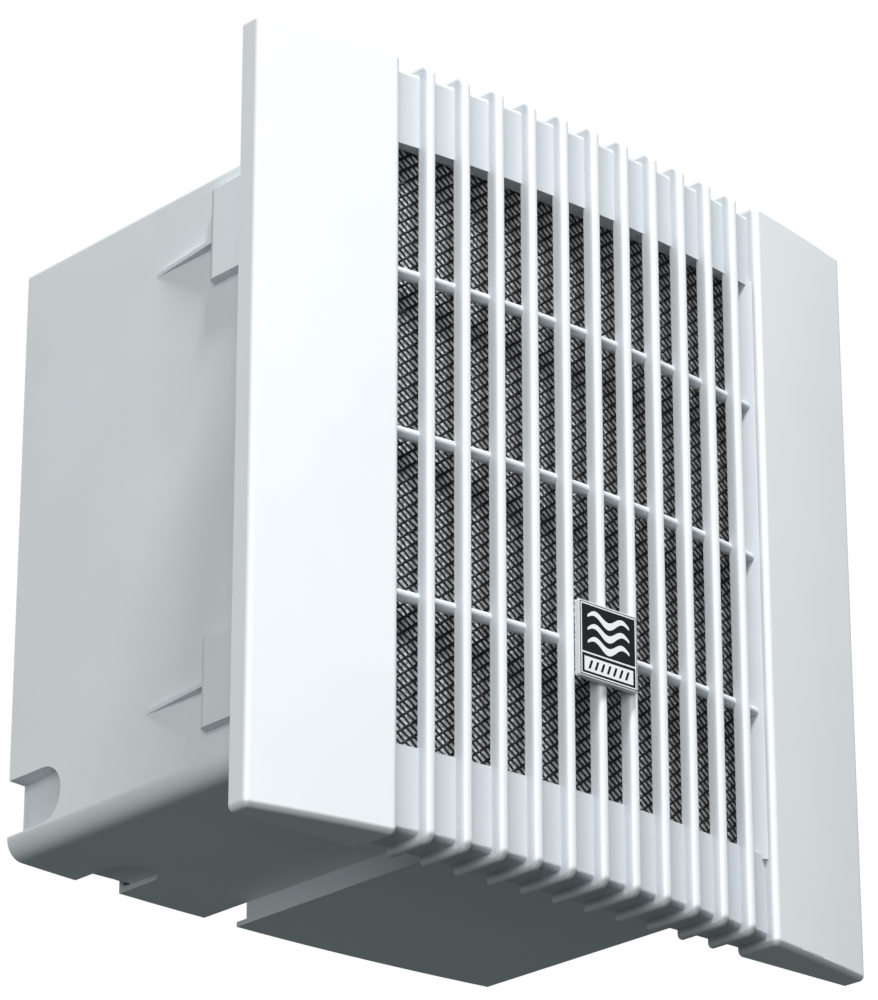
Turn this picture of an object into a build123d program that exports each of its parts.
"""Recessed bathroom extractor fan: wall box, scroll, motor and impeller, filter and louvred cover.

Frame: origin in the middle of the cover, on the wall's face. X to the right, Y into the wall,
Z up. The cover and its filter stand in front of the wall (y < 0), the box is sunk in it (y > 0).
All sizes in millimetres.
"""
from build123d import *
from math import asin, cos, degrees, radians, sin, sqrt
import os

# ---------------------------------------------------------------- driving dimensions
FACE = 280.0             # the square cover
HALF = FACE / 2
EDGE_DEPTH = 8.25        # depth of the cover at its left and right edges
BOW = 16.5               # how far the middle of the cover bows out past its edges
COVER_WALL = 2.4

LOUVRE_HALF = 85.5       # half width of the louvred field
SLAT_COUNT = 11
SLAT_PITCH = 14.55
SLAT_WIDTH = 3.6
BAND_RECESS = 4.6        # slat fronts stand this far in front of the bands between them
LIP_RECESS = 3.0         # the same at the cover's top and bottom
WINDOW_HALF = 80.0
WINDOW_BOTTOM, WINDOW_TOP = -107.5, 108.5
ROD_HEIGHTS = (-55.5, 2.3, 60.5)
ROD_RADIUS = 2.1
ROD_RECESS = 6.4

BOX_HALF = 108.3         # outside of the wall box
BOX_BOTTOM, BOX_TOP = -108.6, 113.9
BOX_DEPTH = 165.5        # to the middle of its bowed back
BACK_BOW = 6.7
BOX_WALL = 2.0
FLANGE_HALF = 124.0
FLANGE_THICK = 2.0
FIXING_X, FIXING_Z = 118.0, 40.0
FIXING_HOLE = 4.5

POCKET_DEPTH = 4.0       # clip pockets bulge this far out of the side walls
POCKET_LENGTH = 51.0
POCKETS = ((70.5, 104.4), (-92.0, -60.5))
GUSSET_HEIGHTS = (85.5, -76.5)
GUSSET_LENGTH = 33.0

NOTCH_WIDTH = 20.4       # cable entries take a 20 mm conduit
SIDE_NOTCH_Z = -90.9
SIDE_NOTCH_FRONT = 129.5
BOTTOM_NOTCH_X = -65.7
BOTTOM_NOTCH_FRONT = 134.9

PAN_LEFT, PAN_RIGHT = -15.8, 98.8
PAN_DROP = 7.7
PAN_FRONT = 2.6
PAN_BACK_GAP, PAN_STRIP_GAP = 18.3, 23.7
PAN_WALL = 1.8
REAR_SLOT_WIDTH, REAR_SLOT_HEIGHT = 28.0, 10.8

AXIS_X, AXIS_Z = -8.0, -12.0     # the fan's axle
SCROLL_FRONT, SCROLL_BACK = 46.0, 108.0
SCROLL_WALL = 2.0
SCROLL_STEP = 10.0
SCROLL_R = 70.0
TONGUE_R = 8.0
OUTLET_LEFT = 20.0       # from the axle

PLATE_BACK = 111.5       # motor plate behind the scroll
POST_RADIUS = 5.0

SPIGOT_X, SPIGOT_Y = 50.0, 77.0
SPIGOT_OUT, SPIGOT_IN = 49.0, 47.0
SPIGOT_TOP = 150.0
FLAP_PIVOT_Z = 139.5
FLAP_RADIUS = 45.5

FIT = 0.1                # clearance round screws
TAPPER_R = 1.5           # self-tapping screws
POST_SCREW_R = 1.7
os.makedirs("parts", exist_ok=True)

# ---------------------------------------------------------------- shared geometry
ARC_R = (HALF**2 + BOW**2) / (2 * BOW)
ARC_CENTRE = -EDGE_DEPTH - BOW + ARC_R


def cover_y(x, recess=0.0):
    """The cover's bowed front at x, or the same arc moved back into the cover."""
    return ARC_CENTRE - sqrt((ARC_R - recess) ** 2 - x**2)


def bowed_face(x_left, x_right, recess, back, front=cover_y):
    """Plan of a slab with the cover's bow at its front and a flat back."""
    middle = (x_left + x_right) / 2
    start, halfway, end = [(x, front(x, recess)) for x in (x_left, middle, x_right)]
    with BuildSketch() as plan:
        with BuildLine():
            ThreePointArc(start, halfway, end)
            Polyline(end, (x_right, back), (x_left, back), start)
        make_face()
    return plan.sketch


def across(y):
    """Plane square to the axle at depth y: its x is X and its y is Z. Extrude by -length to go deeper."""
    return Plane.XZ.offset(-y)


def back_y(x, inset=0.0):
    """Depth of the box's bowed back wall at x, or of a surface that lies inset in front of it."""
    radius = (BOX_HALF**2 + BACK_BOW**2) / (2 * BACK_BOW)
    return BOX_DEPTH - radius + sqrt((radius - inset) ** 2 - x**2)


def back_face(x_left, x_right, front, inset):
    """Plan of a slab with a flat front and the box's bow at its back."""
    middle = (x_left + x_right) / 2
    start, halfway, end = [(x, back_y(x, inset)) for x in (x_left, middle, x_right)]
    with BuildSketch() as plan:
        with BuildLine():
            ThreePointArc(start, halfway, end)
            Polyline(end, (x_right, front), (x_left, front), start)
        make_face()
    return plan.sketch


def around_axle(*points):
    """Places given from the axle, in the box's frame."""
    return [(AXIS_X + x, AXIS_Z + z) for x, z in points]


def ring_places(radius, angles):
    """Points on a circle round the axle."""
    return around_axle(*[(radius * cos(radians(a)), radius * sin(radians(a))) for a in angles])


def save(name, part):
    """Label a finished piece and write its STEP file."""
    part.label = name
    export_step(part, f"parts/{name}.step")


# ---------------------------------------------------------------- wall box
POST_PLACES = ((-92.0, 58.0), (-62.0, -97.0), (92.0, -92.0), (98.0, 58.0))
OUTLET_RIGHT = SCROLL_R + 2 * SCROLL_STEP + SCROLL_STEP / 2
OUTLET_X1 = AXIS_X + OUTLET_LEFT
OUTLET_X2 = AXIS_X + OUTLET_RIGHT
PAN_SCREWS = ((20.0, 28.0), (74.0, 28.0))

with BuildPart() as cavity:
    with BuildSketch(across(-10)):
        with Locations((0, (BOX_BOTTOM + BOX_TOP) / 2)):
            Rectangle(2 * (BOX_HALF - BOX_WALL), BOX_TOP - BOX_BOTTOM - 2 * BOX_WALL)
    extrude(amount=-(BOX_DEPTH + 10))
    fillet(cavity.edges().filter_by(Axis.Y).group_by(Axis.Z)[0], 5.0)
    with BuildSketch(Plane.XY.offset(-HALF)):
        add(back_face(-BOX_HALF, BOX_HALF, -20.0, BOX_WALL))
    extrude(amount=FACE, mode=Mode.INTERSECT)

with BuildPart() as housing:
    with BuildSketch(across(0)):
        with Locations((0, (BOX_BOTTOM + BOX_TOP) / 2)):
            Rectangle(2 * BOX_HALF, BOX_TOP - BOX_BOTTOM)
    extrude(amount=-BOX_DEPTH)
    fillet(housing.edges().filter_by(Axis.Y).group_by(Axis.Z)[0], 7.0)
    fillet(housing.edges().filter_by(Axis.Y).group_by(Axis.Z)[-1], 3.0)
    with BuildSketch(Plane.XY.offset(-HALF)):
        add(back_face(-BOX_HALF, BOX_HALF, -20.0, 0.0))
    extrude(amount=FACE, mode=Mode.INTERSECT)
    # flange against the wall, hidden behind the cover
    with BuildSketch(across(-FLANGE_THICK)):
        with Locations((0, (BOX_BOTTOM + BOX_TOP) / 2)):
            RectangleRounded(2 * FLANGE_HALF, 2 * FLANGE_HALF, 12.0)
    extrude(amount=-FLANGE_THICK)
    # clip pockets and their gussets
    for side in (-1, 1):
        for low, high in POCKETS:
            middle = (low + high) / 2
            with BuildSketch(Plane.XY.offset(low)):
                with Locations((side * (BOX_HALF + POCKET_DEPTH / 2 - 1), POCKET_LENGTH / 2)):
                    pocket = Rectangle(POCKET_DEPTH + 2, POCKET_LENGTH)
                    fillet(pocket.vertices().sort_by(Axis.Y)[-2:].sort_by(Axis.X)[0 if side < 0 else -1], 3.0)
            extrude(amount=high - low)
        for height in GUSSET_HEIGHTS:
            with BuildSketch(Plane.XY.offset(height - 0.75)):
                with BuildLine():
                    Polyline(
                        (side * (BOX_HALF - 1), POCKET_LENGTH - 3),
                        (side * (BOX_HALF + POCKET_DEPTH - 0.4), POCKET_LENGTH - 3),
                        (side * BOX_HALF, POCKET_LENGTH + GUSSET_LENGTH),
                        (side * (BOX_HALF - 1), POCKET_LENGTH + GUSSET_LENGTH),
                        close=True,
                    )
                make_face()
            extrude(amount=1.5)
    add(cavity.part, mode=Mode.SUBTRACT)
    for low, high in POCKETS:
        with BuildSketch(Plane.XY.offset(low + BOX_WALL)):
            with Locations((0, (POCKET_LENGTH - BOX_WALL) / 2 - 5)):
                Rectangle(2 * (BOX_HALF + POCKET_DEPTH - BOX_WALL), POCKET_LENGTH - BOX_WALL + 10)
        extrude(amount=high - low - 2 * BOX_WALL, mode=Mode.SUBTRACT)
    # posts for the motor plate, each with a screw hole
    for x, z in POST_PLACES:
        with BuildSketch(across(PLATE_BACK)):
            with Locations((x, z)):
                Circle(POST_RADIUS)
        extrude(amount=-(back_y(abs(x) + POST_RADIUS) - 1 - PLATE_BACK))
    with BuildSketch(across(PLATE_BACK)):
        with Locations(*POST_PLACES):
            Circle(POST_SCREW_R + FIT)
    extrude(amount=-12.0, mode=Mode.SUBTRACT)
    # outlet opening in the top, screw holes of the spigot
    with BuildSketch(Plane.XY.offset(BOX_TOP - 10)):
        with Locations(((OUTLET_X1 + OUTLET_X2) / 2, SPIGOT_Y)):
            Rectangle(OUTLET_X2 - OUTLET_X1, SCROLL_BACK - SCROLL_FRONT)
            with GridLocations(OUTLET_X2 - OUTLET_X1 + 14, 50.0, 2, 2):
                Circle(TAPPER_R + FIT)
    extrude(amount=20, mode=Mode.SUBTRACT)
    # flange: wall-fixing holes
    with BuildSketch(across(-FLANGE_THICK - 1)):
        with Locations(*[(sx * FIXING_X, sz * FIXING_Z) for sx in (-1, 1) for sz in (-1, 1)]):
            Circle(FIXING_HOLE / 2)
    extrude(amount=-(FLANGE_THICK + 2), mode=Mode.SUBTRACT)
    # screw holes of the wiring cover in the bottom
    with BuildSketch(Plane.XY.offset(BOX_BOTTOM - 1)):
        with Locations(*PAN_SCREWS):
            Circle(TAPPER_R + FIT)
    extrude(amount=BOX_WALL + 2, mode=Mode.SUBTRACT)
    # side cable entry: a U notch, open at the back
    with BuildSketch(Plane.YZ.offset(-BOX_HALF - 1)):
        with Locations((SIDE_NOTCH_FRONT + NOTCH_WIDTH / 2, SIDE_NOTCH_Z)):
            Circle(NOTCH_WIDTH / 2)
        with Locations((SIDE_NOTCH_FRONT + NOTCH_WIDTH / 2 + 25, SIDE_NOTCH_Z)):
            Rectangle(50, NOTCH_WIDTH)
    extrude(amount=8.3, mode=Mode.SUBTRACT)
    # bottom cable entry
    with BuildSketch(Plane.XY.offset(BOX_BOTTOM - 1)):
        with Locations((BOTTOM_NOTCH_X, BOTTOM_NOTCH_FRONT + NOTCH_WIDTH / 2)):
            Circle(NOTCH_WIDTH / 2)
        with Locations((BOTTOM_NOTCH_X, BOTTOM_NOTCH_FRONT + NOTCH_WIDTH / 2 + 25)):
            Rectangle(NOTCH_WIDTH, 50)
    extrude(amount=5.6, mode=Mode.SUBTRACT)
    # cable slot behind the wiring cover, open at the back
    slot_front = back_y(PAN_LEFT, PAN_STRIP_GAP)
    with BuildSketch(Plane.XY.offset(BOX_BOTTOM - 1)):
        with Locations((PAN_LEFT + REAR_SLOT_WIDTH / 2, slot_front + 25)):
            Rectangle(REAR_SLOT_WIDTH, 50)
    extrude(amount=REAR_SLOT_HEIGHT + 1, mode=Mode.SUBTRACT)
save("housing", housing.part)

# ---------------------------------------------------------------- liner of the cable entries
SHELF_Z = BOX_BOTTOM + BOX_WALL + 0.05

with BuildPart() as cable_entry_liner:
    # bowed wall that guides the conduit in through the side notch
    with BuildSketch(Plane.XY.offset(SIDE_NOTCH_Z - NOTCH_WIDTH / 2 - 1.5)):
        with BuildLine():
            inner = ThreePointArc((-106.2, 127.0), (-102.6, 141.0), (-101.0, 157.4))
            outer = ThreePointArc((-104.2, 127.0), (-101.0, 141.0), (-99.4, 157.4))
            Line(inner @ 0, outer @ 0)
            Line(inner @ 1, outer @ 1)
        make_face()
    extrude(amount=NOTCH_WIDTH + 3)
    # ceiling over the side notch, and the shelf over the bottom notch
    with BuildSketch(Plane.XY.offset(SIDE_NOTCH_Z + NOTCH_WIDTH / 2)):
        with BuildLine():
            ThreePointArc((-104.2, 127.0), (-101.0, 141.0), (-99.4, 157.4))
            Polyline((-99.4, 157.4), (-106.2, 157.4), (-106.2, 127.0), (-104.2, 127.0))
        make_face()
    extrude(amount=1.5)
    with BuildSketch(Plane.XY.offset(SHELF_Z)):
        with Locations((-77.7, 145.2)):
            Rectangle(46.4, 24.4)
    extrude(amount=1.5)
    # rib that joins the shelf to the wall
    with BuildSketch(Plane.XY.offset(SHELF_Z)):
        with Locations((-100.3, 152.2)):
            Rectangle(1.8, 10.4)
    extrude(amount=5.0)
save("cable_entry_liner", cable_entry_liner.part)

# ---------------------------------------------------------------- wiring cover under the box
with BuildPart() as wiring_cover:
    with BuildSketch(Plane.XY.offset(BOX_BOTTOM - PAN_DROP)):
        add(back_face(PAN_LEFT, PAN_RIGHT, PAN_FRONT, PAN_BACK_GAP))
    extrude(amount=PAN_WALL)
    for x_left in (PAN_LEFT, PAN_RIGHT - PAN_WALL):
        with BuildSketch(Plane.XY.offset(BOX_BOTTOM - PAN_DROP)):
            add(back_face(x_left, x_left + PAN_WALL, PAN_FRONT, PAN_STRIP_GAP))
        extrude(amount=PAN_DROP)
    with BuildSketch(Plane.XY.offset(BOX_BOTTOM - PAN_DROP)):
        with Locations(((PAN_LEFT + PAN_RIGHT) / 2, PAN_FRONT + PAN_WALL / 2), ((PAN_LEFT + PAN_RIGHT) / 2, 137.0)):
            Rectangle(PAN_RIGHT - PAN_LEFT, PAN_WALL)
        with Locations(*PAN_SCREWS):
            Circle(4.0)
    extrude(amount=PAN_DROP)
    with BuildSketch(Plane.XY.offset(BOX_BOTTOM)):
        with Locations(*PAN_SCREWS):
            Circle(TAPPER_R + FIT)
    extrude(amount=-6.2, mode=Mode.SUBTRACT)
save("wiring_cover", wiring_cover.part)

with BuildPart() as wiring_cover_screws:
    for x, y in PAN_SCREWS:
        with BuildSketch(Plane.XY.offset(BOX_BOTTOM - 6.0)):
            with Locations((x, y)):
                Circle(TAPPER_R)
        extrude(amount=6.0 + BOX_WALL)
        with BuildSketch(Plane.XY.offset(BOX_BOTTOM + BOX_WALL)):
            with Locations((x, y)):
                Circle(3.0)
        extrude(amount=2.0)
        with BuildSketch(Plane.XY.offset(BOX_BOTTOM + BOX_WALL + 1.0)):
            with Locations((x, y)):
                Rectangle(4.0, 0.8)
                Rectangle(0.8, 4.0)
        extrude(amount=1.0, mode=Mode.SUBTRACT)
save("wiring_cover_screws", wiring_cover_screws.part)

# ---------------------------------------------------------------- scroll
SCROLL_TOP = BOX_TOP - BOX_WALL
C1, C2, C3 = around_axle(
    (-SCROLL_STEP / 2, -SCROLL_STEP / 2),
    (SCROLL_STEP / 2, -SCROLL_STEP / 2),
    (SCROLL_STEP / 2, SCROLL_STEP / 2),
)
R1, R2, R3 = [SCROLL_R + i * SCROLL_STEP for i in range(3)]
LUG_R = 5.0
LUG_OUT = SCROLL_WALL + LUG_R / 2
LUG_SCREW = 15.0
SCROLL_FIXINGS = ring_places(42.0, (45, 135, 225, 315))
AXLE_FRAME = Plane(origin=(AXIS_X, 0, AXIS_Z))
AXLE = Axis((AXIS_X, 0, AXIS_Z), (0, 1, 0))

def scroll_face(grow):
    """Scroll outline: three quarter arcs, each larger than the last, then a straight outlet up."""
    left, right = OUTLET_X1 - grow, OUTLET_X2 + grow
    tongue = TONGUE_R - grow
    tongue_x, tongue_z = left - tongue, C1[1] + R1 + TONGUE_R
    with BuildSketch() as outline:
        with BuildLine():
            CenterArc(C1, R1 + grow, 90, 90)
            CenterArc(C2, R2 + grow, 180, 90)
            CenterArc(C3, R3 + grow, 270, 90)
            Polyline((right, C3[1]), (right, SCROLL_TOP), (left, SCROLL_TOP), (left, tongue_z))
            CenterArc((tongue_x, tongue_z), tongue, 270, 90)
            Line((tongue_x, tongue_z - tongue), (C1[0], C1[1] + R1 + grow))
        make_face()
    return outline.sketch

def lug_on(centre, radius, angle):
    """A screw lug's place on the outside of one of the scroll's arcs."""
    reach = radius + LUG_OUT
    return centre[0] + reach * cos(radians(angle)), centre[1] + reach * sin(radians(angle))

LUG_PLACES = (
    lug_on(C1, R1, 135),
    lug_on(C2, R2, 215),
    lug_on(C3, R3, 305),
    (OUTLET_X2 + LUG_OUT, 30.0),
    (OUTLET_X1 - LUG_OUT, 85.0),
)

def screws(places, y_head, head_r, head_h, shank_r, length, inward=True):
    """A group of cross-head screws square to the axle; the underside of the heads is at y_head."""
    way = -1 if inward else 1
    with BuildPart() as group:
        with BuildSketch(across(y_head)):
            with Locations(*places):
                Circle(shank_r)
        extrude(amount=way * length)
        with BuildSketch(across(y_head)):
            with Locations(*places):
                Circle(head_r)
        extrude(amount=-way * head_h)
        with BuildSketch(across(y_head + way * head_h)):
            with Locations(*places):
                Rectangle(1.4 * head_r, 0.8)
                Rectangle(0.8, 1.4 * head_r)
        extrude(amount=way * head_h / 2, mode=Mode.SUBTRACT)
    return group.part

with BuildPart() as scroll_body:
    with BuildSketch(across(SCROLL_FRONT)):
        add(scroll_face(SCROLL_WALL))
        with Locations(*LUG_PLACES):
            Circle(LUG_R)
    extrude(amount=-(SCROLL_BACK + SCROLL_WALL - SCROLL_FRONT))
    with BuildSketch(across(SCROLL_FRONT)):
        add(scroll_face(0.0))
    extrude(amount=-(SCROLL_BACK - SCROLL_FRONT), mode=Mode.SUBTRACT)
    with BuildSketch(across(SCROLL_FRONT)):
        with Locations(*LUG_PLACES):
            Circle(TAPPER_R + FIT)
    extrude(amount=-(LUG_SCREW - 1), mode=Mode.SUBTRACT)
    with BuildSketch(across(SCROLL_BACK - 1)):
        with Locations((AXIS_X, AXIS_Z)):
            Circle(14.0)
        with Locations(*SCROLL_FIXINGS):
            Circle(POST_SCREW_R + FIT)
    extrude(amount=-4.0, mode=Mode.SUBTRACT)
save("scroll_body", scroll_body.part)

COVER_FRONT = SCROLL_FRONT - SCROLL_WALL
THROAT_R = 50.0
BELL_WALL = 1.5
BELL_ROUND = 8.0
BELL_BACK = 54.0

with BuildPart() as scroll_cover:
    with BuildSketch(across(SCROLL_FRONT)):
        add(scroll_face(SCROLL_WALL))
        with Locations(*LUG_PLACES):
            Circle(LUG_R)
        with Locations((AXIS_X, AXIS_Z)):
            Circle(THROAT_R + BELL_ROUND - 0.5, mode=Mode.SUBTRACT)
        with Locations(*LUG_PLACES):
            Circle(TAPPER_R + FIT, mode=Mode.SUBTRACT)
    extrude(amount=SCROLL_WALL)
    # inlet bell: a rounded lip from the cover's face in to the throat
    with BuildSketch(AXLE_FRAME):
        with BuildLine():
            bell_r = THROAT_R + BELL_ROUND
            round_y = COVER_FRONT + BELL_ROUND
            CenterArc((bell_r, round_y), BELL_ROUND, 180, 90)
            Polyline(
                (THROAT_R, round_y),
                (THROAT_R, BELL_BACK),
                (THROAT_R + BELL_WALL, BELL_BACK),
                (THROAT_R + BELL_WALL, round_y),
            )
            CenterArc((bell_r, round_y), BELL_ROUND - BELL_WALL, 180, 90)
            Line((bell_r, COVER_FRONT + BELL_WALL), (bell_r, COVER_FRONT))
        make_face()
    revolve(axis=AXLE)
save("scroll_cover", scroll_cover.part)
save("scroll_cover_screws", screws(LUG_PLACES, COVER_FRONT, 3.0, 2.0, TAPPER_R, LUG_SCREW))

# ---------------------------------------------------------------- motor plate
PLATE_FRONT = SCROLL_BACK + SCROLL_WALL
MOUNT_SCREW_R = 2.0
MOUNTS = ring_places(45.0, (90, 210, 330))
with BuildPart() as motor_plate:
    with BuildSketch(across(PLATE_FRONT)):
        with Locations((2.0, 1.0)):
            RectangleRounded(204.0, 208.0, 8.0)
        with Locations((AXIS_X, AXIS_Z)):
            Circle(14.0, mode=Mode.SUBTRACT)
        with Locations(*POST_PLACES, *SCROLL_FIXINGS):
            Circle(POST_SCREW_R + FIT, mode=Mode.SUBTRACT)
        with Locations(*MOUNTS):
            Circle(MOUNT_SCREW_R + FIT, mode=Mode.SUBTRACT)
        # passage for the motor's wires beside the terminal block
        with Locations((-45.0, -97.0)):
            SlotOverall(16.0, 8.0, mode=Mode.SUBTRACT)
    extrude(amount=-(PLATE_BACK - PLATE_FRONT))
save("motor_plate", motor_plate.part)
save("motor_plate_screws", screws(POST_PLACES, PLATE_FRONT, 3.4, 2.2, POST_SCREW_R, 12.0))
save("scroll_fixing_screws", screws(SCROLL_FIXINGS, SCROLL_BACK, 3.2, 1.8, POST_SCREW_R, 4.5))

# ---------------------------------------------------------------- motor
SHAFT_R = 4.0
BEARING_R = 8.0
STACK_FRONT, STACK_BACK = 128.0, 148.0
STATOR_OUT, STATOR_YOKE = 40.0, 34.0
ROTOR_R, AIR_GAP = 22.0, 0.5
SHIELD_FRONT, SHIELD_BACK = 116.0, 158.0
SHIELD_WALL = 2.0
POLES = 4
POLE_WIDTH = 13.0

def end_shield(face_y, stack_y, boss_far, boss_near):
    """A cup over one end of the stator, with a bearing seat and six cooling slots in its face."""
    inward = 1 if stack_y > face_y else -1
    inner_y = face_y + inward * SHIELD_WALL
    with BuildPart() as shield:
        with BuildSketch(AXLE_FRAME):
            with BuildLine():
                Polyline(
                    (BEARING_R, boss_far),
                    (BEARING_R + 3, boss_far),
                    (BEARING_R + 3, face_y),
                    (STATOR_OUT - 3, face_y),
                    (STATOR_OUT, face_y + inward * 3),
                    (STATOR_OUT, stack_y),
                    (STATOR_OUT - SHIELD_WALL, stack_y),
                    (STATOR_OUT - SHIELD_WALL, inner_y),
                    (BEARING_R + 3, inner_y),
                    (BEARING_R + 3, boss_near),
                    (BEARING_R, boss_near),
                    close=True,
                )
            make_face()
        revolve(axis=AXLE)
        with BuildSketch(across(min(face_y, inner_y) - 1)):
            with Locations((AXIS_X, AXIS_Z)):
                with PolarLocations(23.0, 6):
                    SlotOverall(12.0, 5.0)
        extrude(amount=-(SHIELD_WALL + 2), mode=Mode.SUBTRACT)
    return shield.part

with BuildPart() as motor_front_shield:
    add(end_shield(SHIELD_FRONT, STACK_FRONT, 113.0, 122.0))
    with BuildSketch(across(SHIELD_FRONT)):
        with Locations(*MOUNTS):
            Circle(8.5)
        with Locations((AXIS_X, AXIS_Z)):
            Circle(STATOR_OUT - 3.5, mode=Mode.SUBTRACT)
        with Locations(*MOUNTS):
            Circle(MOUNT_SCREW_R + FIT, mode=Mode.SUBTRACT)
    extrude(amount=-SHIELD_WALL)
save("motor_front_shield", motor_front_shield.part)
save("motor_rear_shield", end_shield(SHIELD_BACK, STACK_BACK, 161.5, 152.5))

def bearing(front, back):
    """A sintered bronze sleeve round the shaft."""
    with BuildPart() as sleeve:
        with BuildSketch(across(front)):
            with Locations((AXIS_X, AXIS_Z)):
                Circle(BEARING_R)
                Circle(SHAFT_R + 0.05, mode=Mode.SUBTRACT)
        extrude(amount=-(back - front))
    return sleeve.part

save("front_bearing", bearing(113.5, 121.5))
save("rear_bearing", bearing(153.0, 161.0))

with BuildPart() as stator_core:
    with BuildSketch(across(STACK_FRONT)):
        with Locations((AXIS_X, AXIS_Z)):
            Circle(STATOR_OUT)
            Circle(STATOR_YOKE, mode=Mode.SUBTRACT)
            with PolarLocations(0, POLES):
                with Locations((29.5, 0)):
                    Rectangle(13.0, POLE_WIDTH)
                with Locations((26.0, 0)):
                    Rectangle(4.0, 25.0)
            Circle(ROTOR_R + AIR_GAP, mode=Mode.SUBTRACT)
    extrude(amount=-(STACK_BACK - STACK_FRONT))
save("stator_core", stator_core.part)

COIL_FRONT, COIL_BACK = 121.5, 154.5
with BuildPart() as stator_windings:
    with BuildSketch(across(COIL_FRONT)):
        with Locations((AXIS_X, AXIS_Z)):
            with PolarLocations(0, POLES):
                with Locations((30.1, 0)):
                    Rectangle(3.6, 21.6)
    extrude(amount=-(COIL_BACK - COIL_FRONT))
    fillet(stator_windings.edges(), 1.2)
    with BuildSketch(across(STACK_FRONT)):
        with Locations((AXIS_X, AXIS_Z)):
            with PolarLocations(0, POLES):
                with Locations((30.1, 0)):
                    Rectangle(8.0, POLE_WIDTH)
    extrude(amount=-(STACK_BACK - STACK_FRONT), mode=Mode.SUBTRACT)
save("stator_windings", stator_windings.part)

with BuildPart() as motor_bushes:
    with BuildSketch(across(PLATE_BACK)):
        with Locations(*MOUNTS):
            Circle(7.0)
            Circle(MOUNT_SCREW_R + FIT, mode=Mode.SUBTRACT)
    extrude(amount=-(SHIELD_FRONT - PLATE_BACK))
    fillet(motor_bushes.edges().filter_by(GeomType.CIRCLE).group_by(SortBy.RADIUS)[-1], 0.8)
save("motor_bushes", motor_bushes.part)
save(
    "motor_mount_screws",
    screws(MOUNTS, SHIELD_FRONT + SHIELD_WALL, 3.6, 2.4, MOUNT_SCREW_R, 7.6, inward=False),
)

# ---------------------------------------------------------------- turning parts
SHAFT_FRONT, SHAFT_BACK = 78.0, 160.5
with BuildPart() as shaft:
    with BuildSketch(across(SHAFT_FRONT)):
        with Locations((AXIS_X, AXIS_Z)):
            Circle(SHAFT_R)
    extrude(amount=-(SHAFT_BACK - SHAFT_FRONT))
    chamfer(shaft.edges().filter_by(GeomType.CIRCLE), 0.6)
save("shaft", shaft.part)

with BuildPart() as rotor_core:
    with BuildSketch(across(STACK_FRONT)):
        with Locations((AXIS_X, AXIS_Z)):
            Circle(ROTOR_R)
            Circle(SHAFT_R, mode=Mode.SUBTRACT)
    extrude(amount=-(STACK_BACK - STACK_FRONT))
save("rotor_core", rotor_core.part)

BLADES = 36
WHEEL_FRONT, WHEEL_BACK = 50.0, 104.0
WHEEL_R, BLADE_R = 61.0, 53.0
WHEEL_PLATE = 1.8
RING_THICK = 2.0
HUB_R, HUB_FRONT = 9.0, 84.0

with BuildSketch() as blade:
    with BuildLine():
        pressure = ThreePointArc((BLADE_R, 0), (57.2, 1.0), (60.6, 4.2))
        suction = ThreePointArc((BLADE_R, 1.2), (56.6, 2.1), (59.6, 4.9))
        Line(pressure @ 0, suction @ 0)
        Line(pressure @ 1, suction @ 1)
    make_face()

with BuildPart() as impeller_blades:
    with BuildSketch(across(WHEEL_FRONT + RING_THICK)):
        with Locations((AXIS_X, AXIS_Z)):
            with PolarLocations(0, BLADES):
                add(blade.sketch)
    extrude(amount=-(WHEEL_BACK - WHEEL_FRONT - WHEEL_PLATE - RING_THICK))
save("impeller_blades", impeller_blades.part)

with BuildPart() as impeller_ring:
    with BuildSketch(across(WHEEL_FRONT)):
        with Locations((AXIS_X, AXIS_Z)):
            Circle(WHEEL_R)
            Circle(BLADE_R, mode=Mode.SUBTRACT)
    extrude(amount=-RING_THICK)
save("impeller_ring", impeller_ring.part)

# back plate that rises to the hub in a cone
with BuildPart() as impeller_plate:
    with BuildSketch(AXLE_FRAME):
        with BuildLine():
            Polyline(
                (SHAFT_R, HUB_FRONT),
                (HUB_R, HUB_FRONT),
                (HUB_R + 2, 90.0),
                (30.0, WHEEL_BACK - WHEEL_PLATE),
                (WHEEL_R, WHEEL_BACK - WHEEL_PLATE),
                (WHEEL_R, WHEEL_BACK),
                (29.5, WHEEL_BACK),
                (HUB_R + 1.4, 92.0),
                (HUB_R, WHEEL_BACK),
                (SHAFT_R, WHEEL_BACK),
                close=True,
            )
        make_face()
    revolve(axis=AXLE)
save("impeller_plate", impeller_plate.part)

with BuildPart() as impeller_nut:
    with BuildSketch(across(HUB_FRONT - 5)):
        with Locations((AXIS_X, AXIS_Z)):
            RegularPolygon(7.0, 6)
            Circle(SHAFT_R, mode=Mode.SUBTRACT)
    extrude(amount=-5.0)
save("impeller_nut", impeller_nut.part)

# ---------------------------------------------------------------- electrics
CAP_X, CAP_Z, CAP_R, CAP_FRONT = -84.0, 85.0, 14.0, 58.0
with BuildPart() as capacitor:
    with BuildSketch(across(CAP_FRONT)):
        with Locations((CAP_X, CAP_Z)):
            Circle(CAP_R)
    extrude(amount=-(PLATE_FRONT - CAP_FRONT))
    fillet(capacitor.edges().group_by(Axis.Y)[0], 2.0)
    with BuildSketch(across(CAP_FRONT + 0.5)):
        with Locations((CAP_X - 5, CAP_Z), (CAP_X + 5, CAP_Z)):
            Rectangle(0.8, 6.3)
    extrude(amount=8.5)
save("capacitor", capacitor.part)

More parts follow.
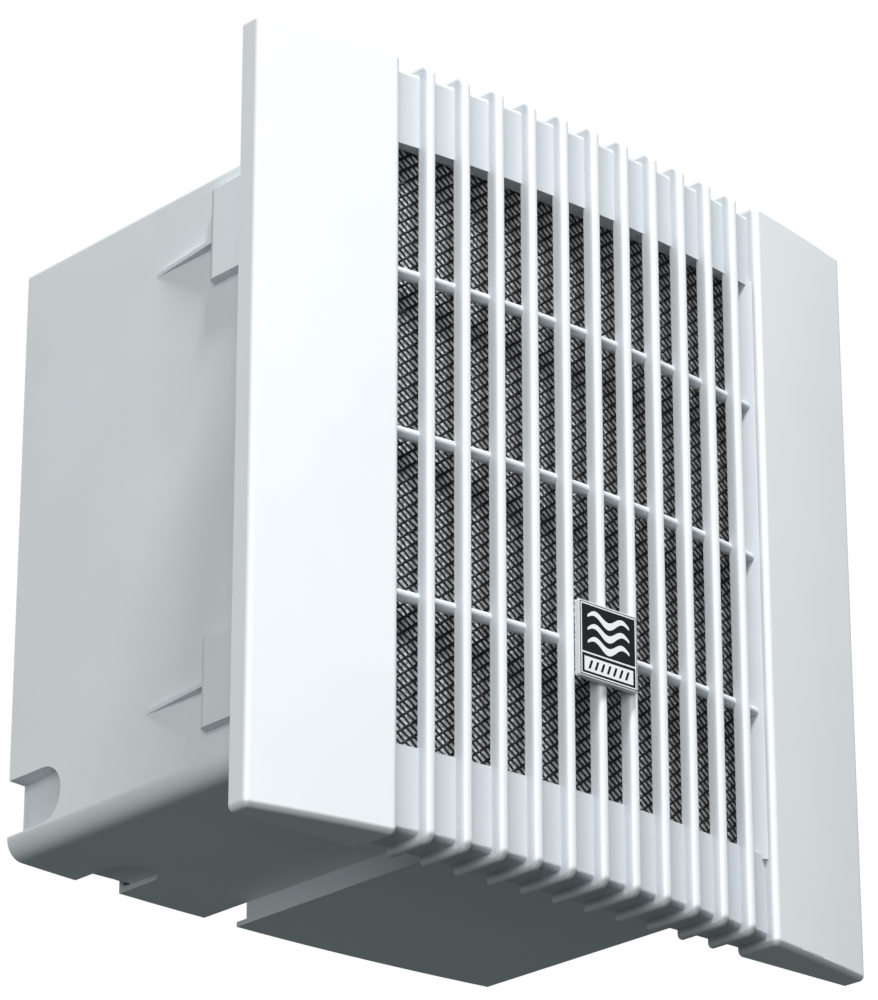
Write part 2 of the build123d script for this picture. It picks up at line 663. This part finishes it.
STRAP_FOOT = 9.6
with BuildPart() as capacitor_strap:
    with BuildSketch(across(80.0)):
        with Locations((CAP_X, CAP_Z)):
            Circle(CAP_R + 1.5)
        with Locations((BOX_WALL - BOX_HALF + STRAP_FOOT / 2, CAP_Z)):
            Rectangle(STRAP_FOOT, 20.0)
        with Locations((CAP_X, CAP_Z)):
            Circle(CAP_R, mode=Mode.SUBTRACT)
    extrude(amount=-12.0)
save("capacitor_strap", capacitor_strap.part)

TERMINAL_X, TERMINAL_Z = -86.0, -95.0
TERMINAL_FRONT, TERMINAL_COVER_FRONT = 93.0, 86.0
POLE_X = [TERMINAL_X + (i - 1) * 9.0 for i in range(3)]
with BuildPart() as terminal_block:
    with BuildSketch(across(TERMINAL_FRONT)):
        with Locations((TERMINAL_X, TERMINAL_Z)):
            Rectangle(30.0, 16.0)
    extrude(amount=-(PLATE_FRONT - TERMINAL_FRONT))
    chamfer(terminal_block.edges().filter_by(Axis.X).group_by(Axis.Y)[0], 2.0)
    with BuildSketch(across(TERMINAL_FRONT)):
        with Locations(*[(x, TERMINAL_Z) for x in POLE_X]):
            Circle(2.6)
    extrude(amount=-8.0, mode=Mode.SUBTRACT)
    with BuildSketch(Plane.XY.offset(TERMINAL_Z - 9)):
        with Locations(*[(x, 103.2) for x in POLE_X]):
            Circle(1.8)
    extrude(amount=18.0, mode=Mode.SUBTRACT)
save("terminal_block", terminal_block.part)
save("terminal_screws", screws([(x, TERMINAL_Z) for x in POLE_X], 97.0, 2.3, 1.6, TAPPER_R, 4.0))

with BuildPart() as terminal_cover:
    with BuildSketch(across(TERMINAL_COVER_FRONT)):
        with Locations((TERMINAL_X, TERMINAL_Z)):
            RectangleRounded(36.0, 20.0, 3.0)
    extrude(amount=-(PLATE_FRONT - TERMINAL_COVER_FRONT))
    with BuildSketch(across(TERMINAL_COVER_FRONT + 1.6)):
        with Locations((TERMINAL_X, TERMINAL_Z)):
            Rectangle(32.0, 17.0)
    extrude(amount=-30.0, mode=Mode.SUBTRACT)
    with BuildSketch(Plane.YZ.offset(TERMINAL_X)):
        with Locations((105.0, TERMINAL_Z)):
            Rectangle(6.0, 8.0)
    extrude(amount=25.0, mode=Mode.SUBTRACT)
save("terminal_cover", terminal_cover.part)

# ---------------------------------------------------------------- outlet spigot and its flaps
SPIGOT_FLANGE = 2.0
ROUND_Z = BOX_TOP + 18.0
OUTLET_MIDDLE = (OUTLET_X1 + OUTLET_X2) / 2
OUTLET_W, OUTLET_D = OUTLET_X2 - OUTLET_X1, SCROLL_BACK - SCROLL_FRONT
PIN_R = 1.5
PIN_HALF = SPIGOT_OUT - 0.3
SEAT_Z = FLAP_PIVOT_Z - 3.6

with BuildPart() as outlet_spigot:
    with BuildSketch(Plane.XY.offset(BOX_TOP)):
        with Locations((OUTLET_MIDDLE, SPIGOT_Y)):
            RectangleRounded(OUTLET_W + 24, OUTLET_D + 16, 5.0)
    extrude(amount=SPIGOT_FLANGE)
    with BuildSketch(Plane.XY.offset(BOX_TOP)):
        with Locations((OUTLET_MIDDLE, SPIGOT_Y)):
            RectangleRounded(OUTLET_W + 4, OUTLET_D + 4, 4.0)
    with BuildSketch(Plane.XY.offset(ROUND_Z)):
        with Locations((SPIGOT_X, SPIGOT_Y)):
            Circle(SPIGOT_OUT)
    loft()
    with BuildSketch(Plane.XY.offset(ROUND_Z)):
        with Locations((SPIGOT_X, SPIGOT_Y)):
            Circle(SPIGOT_OUT)
    extrude(amount=SPIGOT_TOP - ROUND_Z)
    with BuildSketch(Plane.XY.offset(BOX_TOP)):
        with Locations((OUTLET_MIDDLE, SPIGOT_Y)):
            RectangleRounded(OUTLET_W, OUTLET_D, 3.0)
    with BuildSketch(Plane.XY.offset(ROUND_Z)):
        with Locations((SPIGOT_X, SPIGOT_Y)):
            Circle(SPIGOT_IN)
    loft(mode=Mode.SUBTRACT)
    with BuildSketch(Plane.XY.offset(ROUND_Z)):
        with Locations((SPIGOT_X, SPIGOT_Y)):
            Circle(SPIGOT_IN)
    extrude(amount=40.0, mode=Mode.SUBTRACT)
    # seat below the closed flaps
    with BuildSketch(Plane.XY.offset(SEAT_Z)):
        with Locations((SPIGOT_X, SPIGOT_Y)):
            Circle(SPIGOT_IN + 0.5)
            Circle(SPIGOT_IN - 4.0, mode=Mode.SUBTRACT)
    extrude(amount=1.5)
    with BuildSketch(across(20.0)):
        with Locations((SPIGOT_X, FLAP_PIVOT_Z)):
            Circle(PIN_R)
    extrude(amount=-120.0, mode=Mode.SUBTRACT)
    with BuildSketch(Plane.XY.offset(BOX_TOP - 1)):
        with Locations((OUTLET_MIDDLE, SPIGOT_Y)):
            with GridLocations(OUTLET_W + 14, 50.0, 2, 2):
                Circle(TAPPER_R + FIT)
    extrude(amount=4.0, mode=Mode.SUBTRACT)
save("outlet_spigot", outlet_spigot.part)

with BuildPart() as spigot_screws:
    with Locations((OUTLET_MIDDLE, SPIGOT_Y, 0)):
        with GridLocations(OUTLET_W + 14, 50.0, 2, 2):
            with Locations((0, 0, BOX_TOP + SPIGOT_FLANGE - 3.5)):
                Cylinder(TAPPER_R, 7.0)
            with Locations((0, 0, BOX_TOP + SPIGOT_FLANGE + 1)):
                Cylinder(2.8, 2.0)
save("spigot_screws", spigot_screws.part)

with BuildPart() as flap_pin:
    with BuildSketch(across(SPIGOT_Y - PIN_HALF)):
        with Locations((SPIGOT_X, FLAP_PIVOT_Z)):
            Circle(PIN_R)
    extrude(amount=-2 * PIN_HALF)
save("flap_pin", flap_pin.part)

FLAP_THICK = 1.2
KNUCKLE_R = 2.9
KNUCKLE_LENGTH = 11.0
KNUCKLES = {-1: (-36.0, -12.0, 12.0, 36.0), 1: (-24.0, 0.0, 24.0)}

def flap(side):
    """Half a disc hung on the pin by knuckles that alternate with the other half's."""
    with BuildPart() as half:
        with BuildSketch(Plane.XY.offset(FLAP_PIVOT_Z - FLAP_THICK / 2)):
            with Locations((SPIGOT_X, SPIGOT_Y)):
                Circle(FLAP_RADIUS)
            with Locations((SPIGOT_X - side * (FLAP_RADIUS - KNUCKLE_R - 0.5), SPIGOT_Y)):
                Rectangle(2 * FLAP_RADIUS, 2 * FLAP_RADIUS, mode=Mode.SUBTRACT)
        extrude(amount=FLAP_THICK)
        for y in KNUCKLES[side]:
            with BuildSketch(across(SPIGOT_Y + y - KNUCKLE_LENGTH / 2)):
                with Locations((SPIGOT_X, FLAP_PIVOT_Z)):
                    Circle(KNUCKLE_R)
                with Locations((SPIGOT_X + side * 3, FLAP_PIVOT_Z)):
                    Rectangle(6.0, FLAP_THICK)
                with Locations((SPIGOT_X, FLAP_PIVOT_Z)):
                    Circle(PIN_R + 0.08, mode=Mode.SUBTRACT)
            extrude(amount=-KNUCKLE_LENGTH)
    return half.part

save("left_flap", flap(-1))
save("right_flap", flap(1))

# ---------------------------------------------------------------- louvred cover
NET_BOW = 3.5            # the filter net bows less than the cover
NET_EDGE_Y = -10.0
NET_HALF = 83.0
NET_THICK = 0.8
NET_R = (NET_HALF**2 + NET_BOW**2) / (2 * NET_BOW)
RIM_GAP, RIM_WALL = 0.4, 1.6
EDGE_ROUND, PANEL_ROUND, BED_ROUND, SLAT_ROUND = 2.2, 2.0, 2.0, 1.5
CORNER_R = 4.0
ROOT = 0.7               # slats are sunk this far into the bands
INNER_HALF = LOUVRE_HALF + COVER_WALL
SIDE_WALL_BACK = -11.0
CLIP_X = 104.7
CLIP_HEIGHTS = [(low + high) / 2 for low, high in POCKETS]

def net_y(x, back=0.0):
    """Depth of the filter net at x, or of an arc that lies back behind it."""
    return NET_EDGE_Y - NET_BOW + NET_R - sqrt((NET_R - back) ** 2 - x**2)

def between_arcs(half_width, front, back):
    """Plan of a slab whose front and back both bow; each is a function of x."""
    with BuildSketch() as plan:
        with BuildLine():
            for edge in (front, back):
                side_y = edge(half_width)
                ThreePointArc((-half_width, side_y), (0, edge(0)), (half_width, side_y))
            for x in (-half_width, half_width):
                Line((x, front(half_width)), (x, back(half_width)))
        make_face()
    return plan.sketch

def slat(right):
    """One slat: its front strip, and the ribs that carry it back over the cover's top and bottom."""
    front = cover_y(right - SLAT_WIDTH / 2)
    with BuildPart() as bar:
        with BuildSketch(Plane.YZ.offset(right - SLAT_WIDTH)):
            with Locations((front / 2 + 10, 0)):
                outline = Rectangle(20 - front, FACE)
            fillet(outline.vertices(), CORNER_R)
            with Locations((front + BAND_RECESS + ROOT + 30, 0)):
                Rectangle(60, FACE - 2 * (LIP_RECESS + ROOT), mode=Mode.SUBTRACT)
            with Locations((30, 0)):
                Rectangle(60, FACE + 2, mode=Mode.SUBTRACT)
        extrude(amount=SLAT_WIDTH)
        edges = bar.edges()
        fillet(
            [
                *edges.filter_by(GeomType.CIRCLE),
                *edges.filter_by(Axis.Z).group_by(Axis.Y)[0],
                *edges.filter_by(Axis.Y).group_by(Axis.Z)[0],
                *edges.filter_by(Axis.Y).group_by(Axis.Z)[-1],
            ],
            SLAT_ROUND,
        )
    return bar.part

with BuildPart() as louvre_bed:
    with BuildSketch(Plane.XY.offset(LIP_RECESS - HALF)):
        add(bowed_face(-LOUVRE_HALF - 1, LOUVRE_HALF + 1, BAND_RECESS, 0.0))
    extrude(amount=FACE - 2 * LIP_RECESS)
    fillet(louvre_bed.edges().filter_by(GeomType.CIRCLE), BED_ROUND)

with BuildPart() as grille:
    with BuildSketch(Plane.XY.offset(-HALF)):
        add(bowed_face(-HALF, HALF, 0.0, 0.0))
    extrude(amount=FACE)
    blank_edges = grille.edges()
    fillet(
        [
            *blank_edges.filter_by(GeomType.CIRCLE),
            *blank_edges.filter_by(Axis.Z).group_by(Axis.Y)[0],
            *blank_edges.filter_by(Axis.Y),
        ],
        EDGE_ROUND,
    )
    # the louvred field lies lower than the side panels
    with BuildSketch(Plane.XY.offset(-HALF - 1)):
        with Locations((0, -20)):
            Rectangle(2 * LOUVRE_HALF, 60)
    extrude(amount=FACE + 2, mode=Mode.SUBTRACT)
    panel_edges = grille.edges().filter_by(Axis.Z)
    fillet(panel_edges.filter_by(lambda e: abs(e.center().X) < INNER_HALF and e.center().Y < -5), PANEL_ROUND)
    add(louvre_bed.part)
    # hollow from behind: left panel, louvred field, right panel
    reach = HALF - COVER_WALL
    for x_left, x_right, recess, top in (
        (-reach, -INNER_HALF, COVER_WALL, reach),
        (-INNER_HALF, INNER_HALF, BAND_RECESS + COVER_WALL, reach - LIP_RECESS),
        (INNER_HALF, reach, COVER_WALL, reach),
    ):
        with BuildSketch(Plane.XY.offset(-top)):
            add(bowed_face(x_left, x_right, recess, 1.0))
        extrude(amount=2 * top, mode=Mode.SUBTRACT)
    # window, its rim above and below, and the sloping walls at its sides
    with BuildSketch(Plane.XY.offset(WINDOW_BOTTOM)):
        with Locations((0, -15)):
            Rectangle(2 * LOUVRE_HALF, 32)
    extrude(amount=WINDOW_TOP - WINDOW_BOTTOM, mode=Mode.SUBTRACT)
    for rim_z in (WINDOW_BOTTOM - RIM_WALL, WINDOW_TOP):
        with BuildSketch(Plane.XY.offset(rim_z)):
            add(
                between_arcs(
                    LOUVRE_HALF + 1,
                    lambda x: cover_y(x, BAND_RECESS + 0.5),
                    lambda x: net_y(x) - RIM_GAP,
                )
            )
        extrude(amount=RIM_WALL)
    for side in (-1, 1):
        wall_front = cover_y(LOUVRE_HALF, 3.0)
        with BuildSketch(Plane.XY.offset(WINDOW_BOTTOM - RIM_WALL)):
            with BuildLine():
                Polyline(
                    (side * INNER_HALF, wall_front),
                    (side * LOUVRE_HALF, wall_front),
                    (side * (WINDOW_HALF + 0.6), SIDE_WALL_BACK - 0.6),
                    (side * (WINDOW_HALF + 0.6), SIDE_WALL_BACK),
                    (side * INNER_HALF, SIDE_WALL_BACK),
                    close=True,
                )
            make_face()
        extrude(amount=WINDOW_TOP - WINDOW_BOTTOM + 2 * RIM_WALL)
    # posts that hold the spring clips
    for side in (-1, 1):
        for height in CLIP_HEIGHTS:
            with Locations((side * (CLIP_X + 1.65), -8.55, height)):
                Box(3.3, 12.1, 14.0)
    # rods behind the slats follow the bow
    rod_r = ARC_R - ROD_RECESS
    half_angle = degrees(asin((LOUVRE_HALF - 2) / rod_r))
    start = radians(-90 - half_angle)
    for height in ROD_HEIGHTS:
        rod_end = Plane(
            origin=(rod_r * cos(start), ARC_CENTRE + rod_r * sin(start), height),
            x_dir=(cos(start), sin(start), 0),
            z_dir=(-sin(start), cos(start), 0),
        )
        with BuildSketch(rod_end):
            Circle(ROD_RADIUS)
        revolve(axis=Axis((0, ARC_CENTRE, 0), (0, 0, 1)), revolution_arc=2 * half_angle)
    for i in range(SLAT_COUNT):
        add(slat(SLAT_PITCH * (i + 1) - LOUVRE_HALF))
save("grille", grille.part)

with BuildPart() as grille_clips:
    for side in (-1, 1):
        for height in CLIP_HEIGHTS:
            with BuildSketch(Plane.XY.offset(height - 6)):
                with BuildLine():
                    Polyline(
                        (side * (CLIP_X - 0.8), -12.0),
                        (side * CLIP_X, -12.0),
                        (side * CLIP_X, 25.8),
                        (side * (CLIP_X + 4.5), 33.0),
                        (side * (CLIP_X + 0.5), 41.0),
                        (side * (CLIP_X - 0.3), 40.6),
                        (side * (CLIP_X + 3.5), 33.0),
                        (side * (CLIP_X - 0.8), 26.2),
                        close=True,
                    )
                make_face()
            extrude(amount=12.0)
save("grille_clips", grille_clips.part)

BADGE_THICK = 2.0
with BuildPart() as badge:
    with BuildSketch(across(cover_y(0) - BADGE_THICK)):
        with Locations((0.1, -56.15)):
            RectangleRounded(27.0, 27.3, 0.8)
    extrude(amount=-BADGE_THICK)
    fillet(badge.faces().sort_by(Axis.Y)[0].edges(), 0.3)
save("badge", badge.part)

# ---------------------------------------------------------------- filter
FRAME_FRONT, FRAME_BACK = -9.0, -2.5
FILTER_MIDDLE = (WINDOW_TOP + WINDOW_BOTTOM) / 2
with BuildPart() as filter_frame:
    with BuildSketch(across(FRAME_FRONT)):
        with Locations((0, FILTER_MIDDLE)):
            RectangleRounded(184.0, 234.0, 4.0)
            Rectangle(167.0, 222.0, mode=Mode.SUBTRACT)
    extrude(amount=FRAME_FRONT - FRAME_BACK)
    with BuildSketch(across(FRAME_BACK)):
        with Locations((0, FILTER_MIDDLE)):
            with GridLocations(1, 55.5, 1, 3):
                Rectangle(176.0, 3.0)
    extrude(amount=-1.2)
save("filter_frame", filter_frame.part)

with BuildPart() as filter_net:
    with BuildSketch(Plane.XY.offset(FILTER_MIDDLE - 111.5)):
        add(between_arcs(NET_HALF, net_y, lambda x: net_y(x, NET_THICK)))
    extrude(amount=223.0)
save("filter_net", filter_net.part)

with BuildPart() as filter_pad:
    with BuildSketch(Plane.XY.offset(FILTER_MIDDLE - 110.5)):
        add(bowed_face(-82.8, 82.8, NET_THICK + 0.3, FRAME_BACK, net_y))
    extrude(amount=221.0)
save("filter_pad", filter_pad.part)
